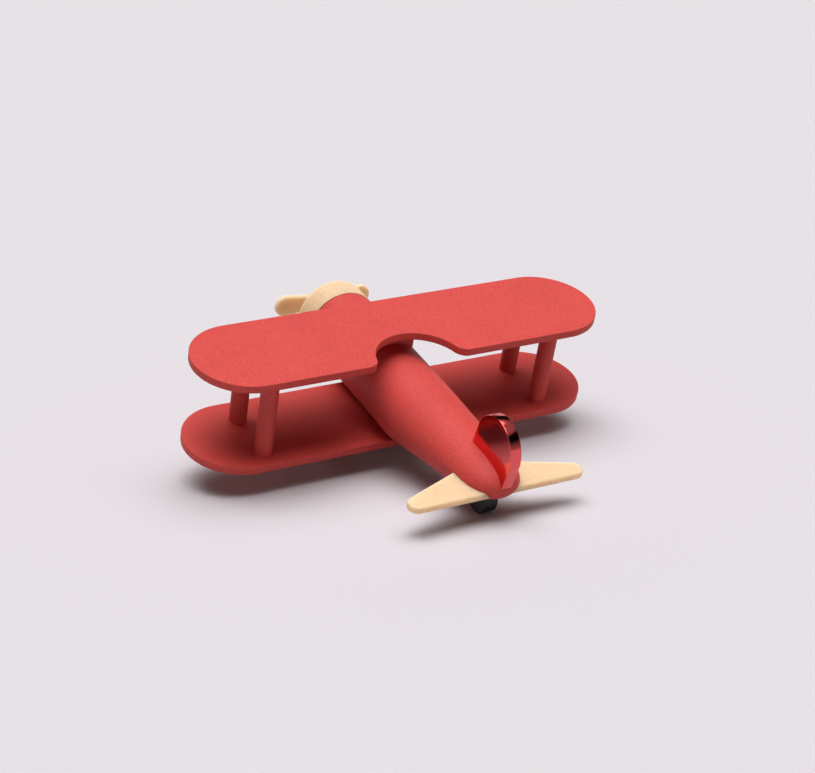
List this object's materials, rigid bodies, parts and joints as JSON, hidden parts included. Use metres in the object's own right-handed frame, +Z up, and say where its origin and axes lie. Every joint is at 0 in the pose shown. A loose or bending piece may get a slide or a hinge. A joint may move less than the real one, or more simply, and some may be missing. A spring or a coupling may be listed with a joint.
{
  "type": "toy biplane",
  "caption": "Wooden toy biplane with stadium-shaped wings on dowel struts, a dowel fuselage, turning propeller and wheels, standing nose up on its gear.",
  "frame": {"origin": "on the floor, below the middle of the parked toy's bounding box", "axes": "+Z up as it parks, the nose towards -Y and raised 16 degrees, +X to the toy's port side along the wings"},
  "size_m": [0.24, 0.2114, 0.0826],
  "materials": {
    "red_paint": "turned and sawn wood under satin red paint",
    "glossy_red_paint": "high-gloss red lacquer on a thin wooden plate",
    "bare_wood": "light close-grained wood, sanded, clear matt finish",
    "black_rubber": "solid black wheel, semi-matt",
    "blackened_steel": "thin steel plates and pin with a black finish"
  },
  "bodies": {
    "airframe": {"fin": "glossy_red_paint", "fuselage": "red_paint", "lower_wing": "red_paint", "nose_cap": "bare_wood", "propeller_peg": "bare_wood", "strut_port_front": "red_paint", "strut_port_rear": "red_paint", "strut_starboard_front": "red_paint", "strut_starboard_rear": "red_paint", "tail_wheel_cheek_port": "blackened_steel", "tail_wheel_cheek_starboard": "blackened_steel", "tail_wheel_pin": "blackened_steel", "tailplane": "bare_wood", "undercarriage_block": "red_paint", "upper_wing": "red_paint", "wing_pylon": "red_paint"},
    "propeller": {"propeller": "bare_wood"},
    "main_wheels": {"main_axle": "bare_wood", "main_wheel_port": "black_rubber", "main_wheel_starboard": "black_rubber"},
    "tail_wheel": {"tail_wheel": "black_rubber"}
  },
  "joints": [
    {"name": "propeller_spin", "type": "hinge", "parent": "airframe", "child": "propeller", "pos_m": [0, -0.10033, 0.06646], "axis": [0, -0.9613, 0.2756], "continuous": true},
    {"name": "main_wheels_spin", "type": "hinge", "parent": "airframe", "child": "main_wheels", "pos_m": [0, -0.05899, 0.014], "axis": [1, 0, 0], "continuous": true},
    {"name": "tail_wheel_spin", "type": "hinge", "parent": "airframe", "child": "tail_wheel", "pos_m": [0, 0.07483, 0.00905], "axis": [1, 0, 0], "continuous": true}
  ]
}
